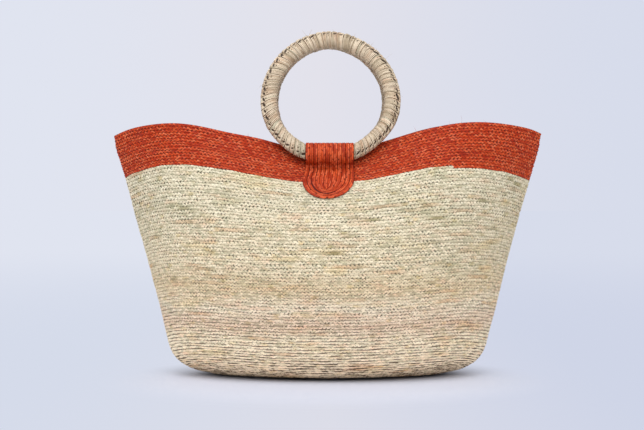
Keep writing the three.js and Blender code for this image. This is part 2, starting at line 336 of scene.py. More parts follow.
def chanceAt(x, y):
    # a chance from 0 to 1, and three more, that stay the same for each pair of whole numbers
    made = addNode(x.id_data, "TexWhiteNoise", {"Vector": vectorOf(x, y)})
    return made.outputs["Value"], addNode(x.id_data, "SeparateColor", {0: made.outputs["Color"]}).outputs


def attributeOf(tree, name):
    return split(addNode(tree, "Attribute", attribute_name=name).outputs["Vector"])


def objectPlace(tree):
    return addNode(tree, "TexCoord").outputs["Object"]


def newMaterial(name):
    material = bpy.data.materials.new(name)
    material.use_nodes = True
    return material, material.node_tree, material.node_tree.nodes["Principled BSDF"]


def setShader(shader, tone, roughness, height, strength, depth):
    tree = tone.id_data
    bump = addNode(tree, "Bump", {"Strength": strength, "Distance": depth, "Height": height}).outputs[0]
    for name, value in (("Base Color", tone), ("Roughness", roughness), ("Normal", bump)):
        tree.links.new(value, shader.inputs[name])


def strandTone(look, along, upper):
    # the tone of each strand, its phase from 0 to 1 between two stitches, and three chances
    stepped = maths("MULTIPLY_ADD", upper, 0.5, along)
    strand = maths("FLOOR", stepped)
    own, chances = chanceAt(strand, times(upper, look["upperSeed"]))
    strip = maths("FLOORED_MODULO", maths("MULTIPLY_ADD", upper, 2.0, strand), look["strips"])
    lasting, _ = chanceAt(strip, maths("FLOOR", maths("DIVIDE", strand, look["stripLength"])))
    chance = maths("MULTIPLY_ADD", lasting, 1 - look["ownTone"], times(own, look["ownTone"]))
    tone = toneRamp(spread(chance, *look["chance"]), look["strands"])
    return tone, maths("FRACT", stepped), chances


def tintedAndShaded(look, tone, along, spots, height):
    # patches on the wall, runs along one row, and tones by height: partly the lots of palm one above the
    # other, partly painted light and shade
    clouds = []
    for size, low, *_ in look["patches"]:
        scale = (size, size, size * look["patchHeight"])
        mapping = {"Vector": spots, "Scale": scale, "Location": (size, low, 0)}
        clouds.append(cloud(addNode(tone.id_data, "Mapping", mapping).outputs[0]))
    for size, low, *_ in look["runs"]:
        clouds.append(cloud(vectorOf(maths("DIVIDE", along, size), low * look["runsApart"]), 1.0, 1.0))
    for field, (_, low, high, tint, strength, begin) in zip(clouds, look["patches"] + look["runs"]):
        share = spread(field, low, high, 0.0, strength)
        share = times(share, spread(height, begin - look["fadeIn"], begin))
        tone = blend(share, tone, colour(*tint), "MULTIPLY")
    # the tones by height carry painted light and shade: lighter low on the natural wall, a darker band at the
    # strap's crease
    wander = maths("SUBTRACT", cloud(spots, look["lotAndShadeCloud"]), 0.5)
    lotAndShadeHeight = maths("DIVIDE", maths("MULTIPLY_ADD", wander, look["lotAndShadeWander"], height), look["height"])
    return blend(1.0, tone, toneRamp(lotAndShadeHeight, look["lotsAndShade"]), "MULTIPLY")


def braidGapShade(look, along, across, upper, row, phase, chances, height):
    # painted shade in the holes at the stitches, the seams, and the lines between strands: how dark each is
    ridge = maths("ABSOLUTE", across)
    nearEnd = times(toEnd(phase), look["stitch"] / mm)
    toSeam = times(maths("SUBTRACT", 0.5, ridge), bag["pitch"] / mm)
    toMiddle = times(ridge, bag["pitch"] / mm)
    size = look["holeSize"]
    larger = spread(chances[0], look["varyFrom"], 1.0, *look["holeVary"])
    seamHole = maths("DIVIDE", distance(toSeam, nearEnd), larger)
    deep = spread(chances[0], 1 - look["deepShare"], 1.0, look["holeLeast"], 1.0)
    holes = times(spread(seamHole, size, size * look["holeCore"]), deep)
    faint = spread(chances[2], look["middleFrom"], 1.0, look["holeLeast"], look["middleMost"])
    edge, core = look["middleHole"]
    middle = times(spread(distance(toMiddle, nearEnd), size * edge, size * core), faint)
    lines = times(spread(nearEnd, *look["lineReach"]), look["lineDark"])
    parting = times(spread(toMiddle, *look["partingReach"]), look["partingDark"])
    first, last, least = look["footShut"]
    gaps = times(highest(holes, middle, lines, parting), spread(height, first, last, least, 1.0))

    # painted shade in the seams: patchy along a row, darker and wider towards the foot
    patchy = streaks(along, upper, (look["seamRun"], look["upperSeam"]), 1.0, row)
    patchy = spread(patchy, *look["seamPatches"], look["seamLeast"], 1.0)
    low = spread(height, *reversed(look["seamHeights"]), *look["seamDark"])
    foot, wider = look["footSeam"]
    width = spread(height, foot, 0.0, look["seamWidth"], look["seamWidth"] * wider)
    seam = times(times(spread(toSeam, width, look["seamCore"]), patchy), low)
    return highest(gaps, seam, spread(ridge, *look["ground"]))


def palmBraid(name, look):
    material, tree, shader = newMaterial(name)
    along, across, row = attributeOf(tree, "braidAt")
    upper = maths("GREATER_THAN", across, 0.0)
    spots = objectPlace(tree)
    height = split(spots)["Z"]
    tone, phase, chances = strandTone(look, along, upper)
    tone = tintedAndShaded(look, tone, along, spots, height)

    fibres = streaks(along, across, look["fibres"], 3.0, row)
    fibreTone = spread(fibres, *look["fibreCloud"], look["fibreDark"], look["fibreLight"])
    fibreTones = [maths("POWER", fibreTone, power) for power in look["fibreDye"]]
    tone = blend(1.0, tone, vectorOf(*fibreTones), "MULTIPLY")

    dark = braidGapShade(look, along, across, upper, row, phase, chances, height)
    # the painted shade of the holes, seams and lines takes the hole tone, browner low and more olive high
    higher = spread(height, *look["holeHeights"])
    tone = blend(dark, tone, blend(higher, colour(*look["holeLow"]), colour(*look["holeHigh"])))
    relief = maths("MULTIPLY_ADD", dark, look["holeRelief"], fibres)
    setShader(shader, tone, spread(chances[1], 0.0, 1.0, *look["roughness"]), relief, *look["relief"])
    shader.inputs["Specular IOR Level"].default_value = look["gloss"]
    return material


# One braid: across it lie two strands that lean against each other, with a dip between them
braid = {
    "stitch": 4.2 * mm,
    "columns": 4,
    "across": np.array([-0.5, -0.27, 0, 0.27, 0.5, 0.5, 0, -0.5]),
    "lift": np.array([0.6, 0.98, 0.8, 0.98, 0.6, -0.5, -0.95, -0.5]),
    "lean": np.array([0, 0.55, 1, 0.55, 0, 0, 0.8, 0]) * 1.2 * mm,
    "gapDepth": 0.5 * mm,
    "edgeGap": 0.25,  # the share of a gap's depth that is left at the edge of the braid
    "unevenLift": 0.16 * mm,
    "unevenLean": 0.3 * mm,
    "grainStep": 0.02,  # how fast the grain changes from strand to strand
}
strapBraid = dict(
    braid,
    stitch=8.4 * mm,
    columns=8,
    lift=np.array([0.5, 0.98, 0.85, 0.98, 0.5, -0.5, -0.95, -0.5]),
    gapDepth=0.3 * mm,
    unevenLift=0.1 * mm,
)

# Sizes of holes and lines are in millimetres, heights in metres
naturalLook = {
    "stitch": braid["stitch"],
    "stripLength": 60,
    "ownTone": 0.55,
    "strands": [
        (0.0, (200, 195, 172)), (0.18, (226, 217, 194)), (0.45, (242, 233, 212)),
        (0.7, (252, 245, 226)), (0.88, (242, 225, 202)), (1.0, (222, 218, 196)),
    ],
    # size, from, to, tint, strength and lowest height of the patches and of the runs along one row
    "patches": [
        (15, 0.54, 0.72, (220, 224, 208), 0.4, 0.13),
        (19, 0.56, 0.74, (246, 232, 196), 0.5, 0.0),
        (24, 0.56, 0.74, (246, 226, 218), 0.5, 0.0),
    ],
    "runs": [
        (5, 0.56, 0.72, (206, 210, 190), 0.5, 0.14),
        (8, 0.56, 0.72, (248, 228, 220), 0.6, 0.0),
        (4, 0.58, 0.72, (240, 226, 186), 0.6, 0.0),
        (14, 0.62, 0.70, (190, 188, 164), 0.9, 0.12),
        (22, 0.60, 0.70, (232, 206, 188), 0.7, 0.0),
    ],
    # tones by height: partly the palm's own lots, pink and peach low down, partly painted light that makes
    # the lower wall lighter and the upper wall darker
    "lotsAndShade": [
        (0.0, (254, 240, 233)), (0.19, (252, 246, 239)), (0.26, (240, 223, 216)),
        (0.33, (246, 240, 236)), (0.41, (233, 221, 204)), (0.50, (232, 226, 216)),
        (0.75, (223, 220, 212)), (1.0, (225, 224, 216)),
    ],
    "height": 0.24,
    "lotAndShadeWander": 0.02,
    "fibreDark": 0.84,
    "fibreDye": (1, 1, 1),  # how strongly the fibres of a strand differ in red, green and blue
    "holeSize": 1.12,
    "holeVary": (0.85, 1.4),  # the small holes and the large ones
    "holeLeast": 0.3,
    "deepShare": 0.75,
    "lineDark": 0.3,
    "partingDark": 0.1,  # the line between the two strands
    "seamRun": 0.36,  # how fast a seam turns from dark to faint along a row
    "seamLeast": 0.22,
    # painted shade in the seams between rows, darker towards the foot: this share at the higher height, full
    # at the lower
    "seamHeights": (0.015, 0.12),
    "seamDark": (0.24, 1.0),
    "seamWidth": 0.85,
    # the tones of the painted shade in the holes, seams and lines, low and high on the wall
    "holeLow": (66, 42, 26),
    "holeHigh": (58, 52, 34),
    "roughness": (0.55, 0.8),
    "gloss": 0.3,
    # what the looks of all braids share
    "upperSeed": 31.7,  # keeps the chances of the upper strands apart from those of the lower ones
    "strips": 5.0,  # each strip of palm comes back at every fifth strand
    "chance": (0.12, 0.88),
    "patchHeight": 3.5,  # patches are so much longer than they are high
    "runsApart": 50,  # keeps the clouds of the runs apart
    "fadeIn": 0.05,  # the height over which patches and runs begin
    "lotAndShadeCloud": 14.0,
    "fibres": (3.0, 16.0),  # fibres for each stitch and across the braid
    "fibreCloud": (0.32, 0.68),
    "fibreLight": 1.05,
    "holeCore": 0.5,
    "varyFrom": 0.3,  # the share of holes that are all of the small size
    "middleHole": (0.85, 0.3),  # edge and core of the holes between the strands, in hole sizes
    "middleFrom": 0.4,
    "middleMost": 0.85,
    "lineReach": (0.42, 0.1),
    "partingReach": (0.45, 0.12),
    "footShut": (0.01, 0.06, 0.45),  # between these heights the holes of the foot open from this share
    "upperSeam": 9.0,  # keeps the seams above and below a row apart
    "seamPatches": (0.43, 0.55),
    "seamCore": 0.35,
    "footSeam": (0.03, 2.4),  # below this height the seams and their painted shade widen, up to so many times at the foot
    "ground": (0.55, 0.65),  # past the edge of the braid lies the ground of a gap
    "holeHeights": (0.03, 0.14),
    "relief": (0.5, 0.22 * mm),
    "holeRelief": -0.8,
}

dyedLook = dict(
    naturalLook,
    ownTone=0.65,
    strands=[
        (0.0, (166, 42, 6)), (0.18, (187, 58, 16)), (0.5, (202, 74, 30)),
        (0.75, (214, 90, 48)), (0.92, (223, 112, 74)), (1.0, (203, 86, 56)),
    ],
    patches=[
        (13, 0.54, 0.72, (214, 170, 160), 0.5, 0.0),
        (21, 0.56, 0.74, (250, 226, 214), 0.5, 0.0),
    ],
    runs=[
        (9, 0.58, 0.72, (214, 180, 170), 0.6, 0.0),
    ],
    lotsAndShade=[(0.0, (240, 250, 255)), (1.0, (240, 250, 255))],
    height=0.3,
    fibreDark=0.79,
    fibreDye=(0.9, 2.4, 4.5),
    holeSize=1.5,
    holeVary=(0.9, 1.15),
    holeLeast=0.55,
    deepShare=0.9,
    lineDark=0.4,
    partingDark=0.15,
    seamRun=0.22,
    seamLeast=0.15,
    seamHeights=(0.03, 0.12),
    seamDark=(0.5, 0.9),
    seamWidth=0.65,
    # the tones of the painted shade in the dyed braid's holes, seams and lines
    holeLow=(82, 14, 0),
    holeHigh=(84, 12, 0),
    roughness=(0.5, 0.75),
    gloss=0.18,
)

strapLook = dict(
    dyedLook,
    stitch=strapBraid["stitch"],
    ownTone=0.7,
    strands=[
        (0.0, (158, 48, 8)), (0.2, (181, 67, 24)), (0.5, (199, 84, 42)),
        (0.8, (213, 104, 68)), (1.0, (197, 90, 58)),
    ],
    # painted shade: a darker band across the strap at the height of the crease under the loop
    lotsAndShade=[
        (0.0, (255, 255, 255)), (0.735, (255, 255, 255)), (0.755, (244, 234, 230)),
        (0.79, (252, 251, 250)), (1.0, (252, 251, 250)),
    ],
    fibreDark=0.7,
    holeLeast=0.1,
    partingDark=0.5,
    seamRun=0.14,
    seamLeast=0.0,
    seamHeights=(0.222, 0.236),
)

naturalPalm = palmBraid("natural_palm", naturalLook)
dyedPalm = palmBraid("dyed_palm", dyedLook)
strapPalm = palmBraid("strap_palm", strapLook)


# Mesh helpers
def addObject(name, data):
    made = bpy.data.objects.new(name, data)
    bpy.context.scene.collection.objects.link(made)
    return made


def meshPiece(name, points, faces, material, attribute=None, bakeMap=None, mirrored=False):
    if mirrored:
        points, faces = points * (1, -1, 1), [group[:, ::-1] for group in faces]
        bakeMap = None if bakeMap is None else bakeMap.reshape(-1, 4, 2)[:, ::-1].reshape(-1, 2)
    mesh = bpy.data.meshes.new(name)
    mesh.vertices.add(len(points))
    mesh.vertices.foreach_set("co", points.astype(np.float32).ravel())
    corners = np.concatenate([group.ravel() for group in faces]).astype(np.int32)
    sizes = np.concatenate([np.full(len(group), group.shape[1]) for group in faces])
    mesh.loops.add(len(corners))
    mesh.loops.foreach_set("vertex_index", corners)
    mesh.polygons.add(len(sizes))
    mesh.polygons.foreach_set("loop_start", (np.cumsum(sizes) - sizes).astype(np.int32))
    if bakeMap is not None:
        mesh.uv_layers.new(name="OFBake").uv.foreach_set("vector", bakeMap.astype(np.float32).ravel())
    if attribute is not None:
        label, values = attribute
        made = mesh.attributes.new(label, "FLOAT_VECTOR", "POINT")
        made.data.foreach_set("vector", values.astype(np.float32).ravel())
    mesh.update(calc_edges=True)
    mesh.polygons.foreach_set("use_smooth", np.ones(len(sizes), bool))
    mesh.materials.append(material)
    return addObject(name, mesh)


def anglesRound(sides):
    return 2 * math.pi * np.arange(sides) / sides


def tubeFaces(columns, sides, closed):
    first = np.arange(columns if closed else columns - 1)[:, None] * sides
    after = (first + sides) % (columns * sides)
    side = np.arange(sides)[None, :]
    beside = (side + 1) % sides
    return np.stack([first + side, after + side, after + beside, first + beside], -1).reshape(-1, 4)


def stripMap(columns, sides, closed, capCount):
    # lays a long tube out as lines of equal length, one above the other, without overlaps
    spans = columns if closed else columns - 1
    lines = max(1, round(math.sqrt(spans / (sides + 1))))
    perLine = math.ceil(spans / lines)
    span = np.arange(spans)[:, None]
    side = np.arange(sides)[None, :]
    left = (span % perLine) / perLine + 0 * side
    right = left + 1 / perLine
    bottom = (span // perLine + (side + 0.5) / (sides + 1)) / lines
    top = bottom + 1 / (sides + 1) / lines
    corners = np.stack([left, bottom, right, bottom, right, top, left, top], -1).reshape(-1, 2)
    # the caps lie small in the half line that is left free below
    angle = anglesRound(sides)
    cap = (0.5 + 0.2 * np.stack([np.cos(angle), np.sin(angle)], 1)) / (perLine, (sides + 1) * lines)
    caps = [cap * (1, 0.4) + (i / perLine, 0) for i in range(capCount)]
    return np.concatenate([corners, *caps]) if caps else corners


def braidPart(surface, path, across, along, stitches, halfThickness, form, closed=False):
    # path, across and along are in the surface's own flat coordinates: the middle of the braid, the full
    # width upwards and the way to move one metre along it
    columns, sides, perStitch = len(path), len(form["across"]), form["columns"]
    step = np.round(stitches * perStitch).astype(int)
    onUpper = (form["across"] > 0)[None, :]
    onEdge = (np.abs(form["across"]) == 0.5)[None, :]
    onMiddle = (form["across"] == 0)[None, :]
    phase = (step % perStitch)[:, None]
    upperGap, lowerGap = (phase == perStitch // 2).astype(float), (phase == 0).astype(float)
    gap = np.where(onUpper, upperGap, lowerGap)
    gap = np.where(onMiddle, 0.5 * (upperGap + lowerGap), gap)
    gap = np.where(onEdge, form["edgeGap"] * gap, gap)
    local = (step - step[0]) // perStitch
    roll = rolled(4, columns // perStitch + 3)
    uneven = np.where(onUpper, roll[0][local + 1][:, None], roll[1][local][:, None]) * ~onEdge
    slip = np.where(onUpper, roll[2][local + 1][:, None], roll[3][local][:, None]) * ~onEdge
    outwards = np.sign(form["lift"])
    lift = form["lift"] * halfThickness + outwards * (form["unevenLift"] * uneven - form["gapDepth"] * gap)
    shift = form["lean"] + form["unevenLean"] * slip
    flat = path[:, None, :] + across[:, None, :] * form["across"][None, :, None]
    flat = flat + along[:, None, :] * shift[..., None]
    point, normal = surface(flat[..., 0], flat[..., 1])
    points = (point + normal * lift[..., None]).reshape(-1, 3)
    groups = [tubeFaces(columns, sides, closed)]
    if not closed:
        edge = np.arange(sides)
        groups.append(np.stack([edge, (columns - 1) * sides + edge[::-1]]))
    grain = (form["grainStep"] * local)[:, None]
    where = together(stitches[:, None], form["across"], grain)
    return points, groups, where.reshape(-1, 3), stripMap(columns, sides, closed, 0 if closed else 2)


def joinParts(name, parts, material, label, mirrored=False):
    # the tubes come first and all their end caps after them, in the faces as in the bake map
    count, start = len(parts), 0
    tubes, caps, tubeMaps, capMaps = [], [], [], []
    for index, (points, groups, _, bakeMap) in enumerate(parts):
        tubes.append(groups[0] + start)
        caps.extend(group + start for group in groups[1:])
        start += len(points)
        placed = bakeMap * (1, 1 / count) + (0, index / count)
        tubeMaps.append(placed[: groups[0].size])
        capMaps.append(placed[groups[0].size :])
    faces = [np.concatenate(group) for group in (tubes, caps) if group]
    points, places = [np.concatenate([part[i] for part in parts]) for i in (0, 2)]
    bakeMap = np.concatenate(tubeMaps + capMaps)
    return meshPiece(name, points, faces, material, (label, places), bakeMap, mirrored)


def setPiece(piece, body, node):
    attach(piece, body)
    if node:
        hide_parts(node)


# The spiral: one braid from the middle of the base to its end on the rim, dyed from a spot on the right lobe
spiral = {
    "startRow": -14.3,
    "endRow": 84.0,
    "dyedTurns": 14,
    "changeX": 128 * mm,
    "endStation": 132,  # on the back, a little past its middle
    "endTaper": 40 * mm,
    "endWidth": 0.3,
    "naturalPieces": 5,
}


def stationAtX(row, x):
    line = wallGrid[row + bag["baseRows"], : quarter + 1, 0]
    station = np.interp(abs(x), line, np.arange(quarter + 1))
    return station if x > 0 else around - station


def rowSurface(station, row):
    # the wall, with rows that wander a little up and down between the base and the rim
    rim = bag["rows"]
    inside = ease(*bag["rowWavesFrom"], row) * ease(rim, rim - bag["rimRows"], row)
    return wallSurface(station, row + inside * bag["rowWaver"] * slowWaves(row, station, bag["rowWaves"]))


def layBag():
    endRow, endStation = spiral["endRow"], spiral["endStation"]
    changeStation = stationAtX(bag["rows"] - spiral["dyedTurns"], spiral["changeX"])
    changeRow = endRow - spiral["dyedTurns"] - ((endStation - changeStation) % around) / around
    fine = np.arange(spiral["startRow"], endRow, 1 / around)
    middle, _ = wallSurface(endStation + around * (fine - endRow), fine)
    length = lengthAlong(middle)
    place = np.arange(0, length[-1], braid["stitch"] / braid["columns"])
    row = np.interp(place, length, fine)
    station = endStation + around * (row - endRow)
    perMetre = np.gradient(station, place)
    width = mix(spiral["endWidth"], 1, ease(0, spiral["endTaper"], length[-1] - place))
    firstWall, firstDyed = np.searchsorted(row, 0.0), np.searchsorted(row, changeRow)
    cuts = np.linspace(firstWall, firstDyed, spiral["naturalPieces"] + 1).astype(int)
    natural, dyed = (naturalPalm, "natural_palm"), (dyedPalm, "dyed_palm")
    spans = [("base_braid", 0, firstWall, "base_coil", natural)]
    for i in range(spiral["naturalPieces"]):
        spans.append((f"wall_braid_{i + 1}", cuts[i], cuts[i + 1], "natural_wall", natural))
    spans.append(("dyed_braid", firstDyed, len(row) - 1, "dyed_band", dyed))
    for name, begin, end, node, (material, slot) in spans:
        here = slice(begin, end + 1)
        path = np.stack([station[here], row[here] - 0.5 * (1 - width[here])], 1)
        across = np.stack([0 * width[here], width[here]], 1)
        along = np.stack([perMetre[here], 0 * width[here]], 1)
        stitches = place[here] / braid["stitch"]
        part = braidPart(rowSurface, path, across, along, stitches, bag["thickness"] / 2, braid)
        setPiece(joinParts(name, [part], material, "braidAt"), "bag", node)


layBag()
print("bag braided")


# The tabs: a strap of braid over the hoop and the rim, with a round tongue on each side of the wall
tab = {
    "shift": 2 * mm,
    "halfThickness": 1.0 * mm,
    "seamGap": 0.3 * mm,
    "loopHalfWidth": 24.8 * mm,
    "tongueHalfWidth": 26.5 * mm,
    "tongueLength": 71 * mm,
    "innerTongueLength": 60 * mm,
    "neck": (0.6, 0.4),  # where the tongue narrows to the loop: how far across and how far down
    "creaseRadius": 3 * mm,
    "creaseRows": (14, 4),  # the crease lies between so many rows below the rim
    "halvings": 30,  # steps of the search for it
    "loops": 6,
    "hemRows": 2,  # outer rows that stand apart from the rest
    "rowStitches": 400,  # keeps the strands of one row apart from those of the next
    "ground": (0.3, 0.7),  # the row under the gape: its share of the thickness, and its place across
    "tipDepth": 11.4 * mm,  # the rows draw together at the tip of a tongue, by a power of their share
    "tipPower": 1.8,
    "hemGap": 0.034,
    "gapeAt": (-25 * degree, 46 * degree, 0.15),  # where the gap is widest, how far it runs, and its least
    "skew": -3.2 * mm,  # how far the tip of the outer tongue hangs to the left
    "leafLift": 17 * mm,  # how much further up the inner rows of the tongue draw to a point
    "leafPower": 1.3,
    "turnSteps": 91,
    "upSteps": 4,
    "tableStep": 0.5 * mm,
    "tableColumns": 13,
    "tableReach": 1.1,
    "wallReach": (60 * mm, 66 * mm),  # how far down the outside and the inside the strap's surface goes
    "wallStep": 2 * mm,
}
ring = {
    "radius": 65.2 * mm,
    "hoopRadius": 6.2 * mm,
    "wrapRadius": 8.8 * mm,
    "play": 0.4 * mm,  # between hoop and loop
    "endGap": 0.6 * mm,
    "restGap": 0.6 * mm,
    "turns": 61,
    "perTurn": 16,
    "fineSides": 22,  # sides of the tube close to the row of hitches
    "plainSides": 20,
    "fineReach": 46 * degree,
    "groove": 0.7 * mm,
    "strips": 4,  # strips of palm side by side in one turn
    "stripGroove": 0.3 * mm,
    "stripEdge": 0.3,
    "thinner": (0.7 * mm, 0.09, 0.18),  # how much thinner the wrap is beside the tab, and how far from it
    "overHoop": 0.2 * mm,
    "turnWidths": (0.75, 1.25),
    "slant": 0.2,  # how far a turn leans, in turns
    "sunk": 0.15 * mm,
    "unevenTurn": 0.13 * mm,
    "unevenStrip": 0.09 * mm,
    "boreSteps": 96,
    "hiddenSteps": 12,
    "hoopSides": 20,
    # out of round and to one side, away from the tab: how much, and where it begins
    "outOfRound": 1.7 * mm,
    "roundOffset": 0.3,
    "sideways": 1.1 * mm,
    "freeFrom": (40 * degree, 70 * degree),
}
# The row of hitches on the ring's outer edge: at every turn a bead, a slanting gap and a small hole
hitch = {
    "angle": -48 * degree,
    "pitch": 6 * mm,
    "uneven": 0.08,
    "unevenSize": 0.25,
    "lean": 38 * degree,
    "gap": (2.4 * mm, 1.1 * mm, 2.4 * mm),  # half its length, half its width and its depth
    "knot": (2.2 * mm, 1.9 * mm, 0.9 * mm),  # half its length, half its width and its height
    "knotPlace": (0.15, 2.6 * mm),
    "knotLeast": 0.5,
    "knotEnds": (0.1, 0.2),  # the shares of the ring over which the beads rise
    "hole": (0.75 * mm, 0.7 * mm, 0.8),  # half its length, half its width and its share of the depth
    "holePlace": (3.6 * mm, 0.8 * mm),  # and how much that varies
    "holeChance": -0.6,  # rolls below this have no hole
    "groove": (0.12, 1.2, 0.5),  # between turns: its reach, how much deeper at the hitches, and how near them
}
joints = {joint["name"]: joint for joint in frame["joints"]}
hinge = np.array(joints["front_ring_swing"]["pos_m"])
edgeReach = tab["loopHalfWidth"] + ring["endGap"]
hoopRise = ring["radius"] - math.sqrt((ring["radius"] - ring["hoopRadius"]) ** 2 - edgeReach**2)
axisOffset = (hoopRise - ring["hoopRadius"]) / 2
loopRadius = ring["hoopRadius"] + axisOffset + ring["play"] + tab["halfThickness"]
strapOffset = bag["thickness"] / 2 + tab["seamGap"] + tab["halfThickness"]


def wallProfile(row, x):
    # the front wall cut lengthwise at one x: (y, z) on the middle of the braid and its way out
    def place(at):
        station = np.arange(quarter + 1.0)
        line, _ = wallSurface(station if x >= 0 else around - station, np.full(quarter + 1, float(at)))
        return readLine(line[:, 1:], np.abs(line[:, 0]), abs(x))

    up = unit(place(min(bag["rows"] - 0.02, row + 0.5)) - place(row - 0.5))
    return place(min(row, bag["rows"] - 0.02)), np.array([-up[1], up[0]])


def arcPoints(centre, radius, start, end, step):
    angle = np.linspace(start, end, max(3, int(abs(end - start) * radius / step)))
    return centre + radius * np.stack([np.cos(angle), np.sin(angle)], 1)


def strapFold(x):
    # the strap cut at one x, in three stretches: up the outside, over the hoop and the rim, down the inside
    pitch, top, axis = bag["pitch"], bag["rows"], hinge[1:]
    low, high = [top - rows for rows in tab["creaseRows"]]
    for _ in range(tab["halvings"]):
        row = (low + high) / 2
        point, out = wallProfile(row, x)
        centre = point + out * (strapOffset + tab["creaseRadius"])
        if np.linalg.norm(centre - axis) > loopRadius + tab["creaseRadius"]:
            low = row
        else:
            high = row
    toWall = math.atan2(-out[1], -out[0])
    toLoop = math.atan2(*(axis - centre)[::-1])
    toLoop += 2 * math.pi if toLoop < toWall else 0
    rim, rimOut = wallProfile(top, x)
    reach = rim - axis
    leave = math.atan2(reach[1], reach[0]) + math.acos((loopRadius - strapOffset) / np.linalg.norm(reach))
    start = toLoop + math.pi if toLoop - math.pi < leave else toLoop - math.pi
    inward = math.atan2(-rimOut[1], -rimOut[0])
    step = tab["tableStep"]
    fold = np.concatenate([
        arcPoints(centre, tab["creaseRadius"], toWall, toLoop, step),
        arcPoints(axis, loopRadius, start, leave, step),
        arcPoints(rim, strapOffset, leave, inward, step),
    ])
    wallStep, (outerReach, innerReach) = tab["wallStep"], tab["wallReach"]
    outer = [wallProfile(row - down / pitch, x) for down in np.arange(outerReach, 0, -wallStep)]
    inner = [wallProfile(top - down / pitch, x) for down in np.arange(wallStep, innerReach, wallStep)]
    outer = np.array([p + o * strapOffset for p, o in outer])
    inner = np.array([p - o * strapOffset for p, o in inner])
    return outer, fold, inner, (top - row) * pitch


def strapTable():
    reach, step = tab["tableReach"], tab["tableStep"]
    xs = tab["shift"] + np.linspace(-reach, reach, tab["tableColumns"]) * tab["tongueHalfWidth"]
    folds = [strapFold(x) for x in xs]
    foldLength = np.mean([lengthAlong(fold)[-1] for _, fold, _, _ in folds])
    counts = [int(length / step) for length in (tab["wallReach"][0], foldLength, tab["wallReach"][1])]
    table = []
    for x, (outer, fold, inner, _) in zip(xs, folds):
        stretches = [np.concatenate([outer, fold[:1]]), fold, np.concatenate([fold[-1:], inner])]
        parts = [resampled(line, count + 1)[1:] for line, count in zip(stretches, counts)]
        line = np.concatenate([outer[:1], *parts])
        table.append(np.concatenate([np.full((len(line), 1), x), line], 1))
    table = np.array(table)
    normals = unit(np.cross(np.gradient(table, axis=0), np.gradient(table, axis=1)))
    return xs, table, normals, folds[len(xs) // 2][3], foldLength


strapXs, strapPoints, strapNormals, creaseDown, foldLength = strapTable()


def strapSurface(x, along):
    # along is 0 at the crease, below 0 down the outer tongue and above 0 over the hoop and on
    i = np.clip((x - strapXs[0]) / (strapXs[1] - strapXs[0]), 0, len(strapXs) - 1.001)
    j = np.clip((along + tab["wallReach"][0]) / tab["tableStep"], 0, strapPoints.shape[1] - 1.001)
    return readTable(strapPoints, i, j), unit(readTable(strapNormals, i, j))


def strapLine(share, gape=0.0):
    # one closed line on the strap, share of the way out from the middle: round the outer tongue, up over
    # the hoop, and round the inner tongue. It gapes most at the lower left of the outer tongue
    wide, narrow = tab["tongueHalfWidth"], tab["loopHalfWidth"]
    angle = np.linspace(-90, 90, tab["turnSteps"]) * degree
    place, reach, least = tab["gapeAt"]
    tongue = share + gape * mix(least, 1, hill(angle - place, reach, 4))
    share = share + gape * least
    lift = tab["leafLift"] * (1 - tongue) ** tab["leafPower"]
    outerEnd = creaseDown - tab["tongueLength"] + tab["tipDepth"] * (1 - tongue ** tab["tipPower"])
    down = outerEnd + (tongue * wide + lift) * (1 - np.cos(angle))
    outer = np.stack([tongue * wide * np.sin(angle) + tab["skew"] * down / outerEnd, down], 1)
    lift = tab["leafLift"] * (1 - share) ** tab["leafPower"]
    innerEnd = foldLength + tab["innerTongueLength"] - tab["tipDepth"] * (1 - share ** tab["tipPower"])
    down = innerEnd - (share * narrow + lift) * (1 - np.cos(angle))
    inner = np.stack([-share * narrow * np.sin(angle), down], 1)
    neckAcross, neckDown = tab["neck"]
    neck = [[share * mix(wide, narrow, neckAcross), outer[-1, 1] * neckDown]]
    steps = tab["upSteps"]
    upwards = np.stack([np.full(steps, share * narrow), np.linspace(0, foldLength, steps)], 1)
    upwards = np.concatenate([neck, upwards])
    return np.concatenate([outer, upwards, inner, upwards[::-1] * (-1, 1), outer[:1]])


def layTab(name, node, mirrored):
    parts = []
    perStitch = strapBraid["columns"]
    loops, gap = tab["loops"], tab["hemGap"]
    hem = loops - tab["hemRows"]
    rows = [(i / loops, gap * (i == hem), (i + 1) / loops, -gap * (i + 1 == hem)) for i in range(loops)]
    rows.append((hem / loops, -2 * gap, hem / loops, 2 * gap))  # the ground of the gape
    for i, (low, lowGape, high, highGape) in enumerate(rows):
        middle = strapLine((low + high) / 2, (lowGape + highGape) / 2)
        length = lengthAlong(middle)
        count = int(round(length[-1] / strapBraid["stitch"])) * perStitch
        index = np.interp(np.linspace(0, length[-1], count, endpoint=False), length, np.arange(len(length)))
        lines = middle, strapLine(low, lowGape), strapLine(high, highGape)
        path, inside, outside = [readLine(line, np.arange(len(line)), index) for line in lines]
        along = unit(np.roll(path, -1, 0) - np.roll(path, 1, 0))
        stitches = np.arange(count) / perStitch + tab["rowStitches"] * i
        thickness, place = tab["ground"] if i == loops else (1, None)
        thickness *= tab["halfThickness"]
        path = path + (tab["shift"], 0)
        part = braidPart(strapSurface, path, outside - inside, along, stitches, thickness, strapBraid, True)
        if place:
            part[2][:, 1] = place
        parts.append(part)
    setPiece(joinParts(name, parts, strapPalm, "braidAt", mirrored), "bag", node)


for side, mirrored in bothSides:
    layTab(f"{side}_strap", f"{side}_tab", mirrored)
print("tabs laid")


